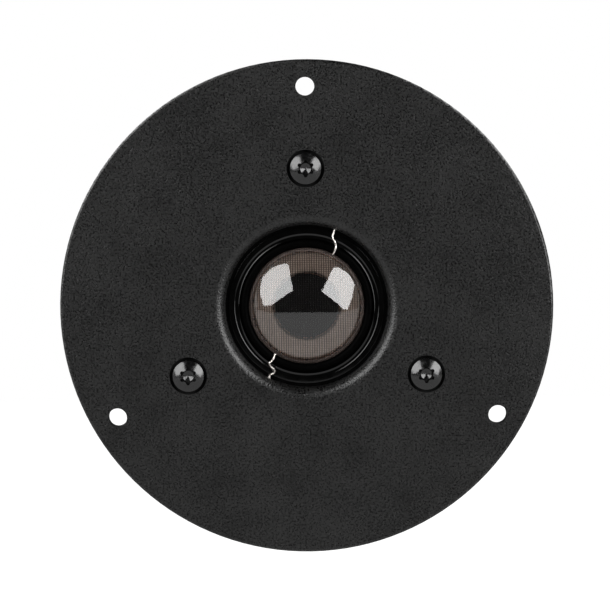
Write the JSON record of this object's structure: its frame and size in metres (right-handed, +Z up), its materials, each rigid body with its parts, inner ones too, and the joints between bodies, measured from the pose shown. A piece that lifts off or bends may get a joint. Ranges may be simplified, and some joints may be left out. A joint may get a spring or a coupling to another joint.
{
  "type": "car tweeter",
  "caption": "Round flange-mounted soft-dome tweeter with a cloth surround, ferrite ring magnet motor, sealed rear chamber and spade terminals.",
  "frame": {"origin": "centre of the mounting-hole circle at the flange's rear face", "axes": "-Y along the tweeter's axis towards the listener, +Z up through one mounting hole and one screw"},
  "size_m": [0.12, 0.0539, 0.12],
  "materials": {
    "faceplate": "fine matt powder coat",
    "foam": "closed-cell foam",
    "black_screw": "gloss black plated steel",
    "black_plastic": "moulded, satin",
    "gloss_ring": "moulded, gloss black",
    "surround_cloth": "coated cloth, black",
    "dome_cloth": "open weave under a clear gloss coating",
    "coil_former": "heat-proof brown film",
    "copper": "bright copper",
    "lead_wire": "tinned tinsel strand",
    "solder": "bright solder",
    "terminal_brass": "rolled brass",
    "plated_steel": "zinc plated, turned",
    "phosphated_steel": "phosphated, dark",
    "ferrite": "sintered ferrite, ground faces",
    "felt": "wool felt, brown",
    "chamber_plastic": "moulded, fine spark texture",
    "wool": "loose damping wool"
  },
  "bodies": {
    "frame": {"faceplate": "faceplate", "baffle_gasket": "foam", "faceplate_screws": "black_screw", "diaphragm_gasket": "foam", "diaphragm_ring": "black_plastic", "surround_clamp_ring": "gloss_ring", "surround": "surround_cloth", "lead_wire_positive": "lead_wire", "lead_wire_negative": "lead_wire", "solder_joints": "solder", "terminal_positive": "terminal_brass", "terminal_negative": "terminal_brass", "terminal_carrier_positive": "black_plastic", "terminal_carrier_negative": "black_plastic", "locating_pins": "terminal_brass", "front_plate": "plated_steel", "magnet": "ferrite", "back_plate": "plated_steel", "pole_piece": "phosphated_steel", "copper_cap": "copper", "pole_felt_ring": "felt", "vent_foam": "foam", "chamber_gasket": "foam", "rear_chamber": "chamber_plastic", "chamber_wool": "wool", "chamber_screws": "black_screw"},
    "diaphragm": {"dome": "dome_cloth", "voice_coil_former": "coil_former", "voice_coil_winding": "copper"}
  },
  "joints": [
    {"name": "diaphragm_excursion", "type": "slide", "parent": "frame", "child": "diaphragm", "axis": [0, -1, 0], "range_m": [-0.0008, 0.0008], "stiffness_N_per_m": 6700, "deforming": ["surround", "lead_wire_positive", "lead_wire_negative"]}
  ]
}
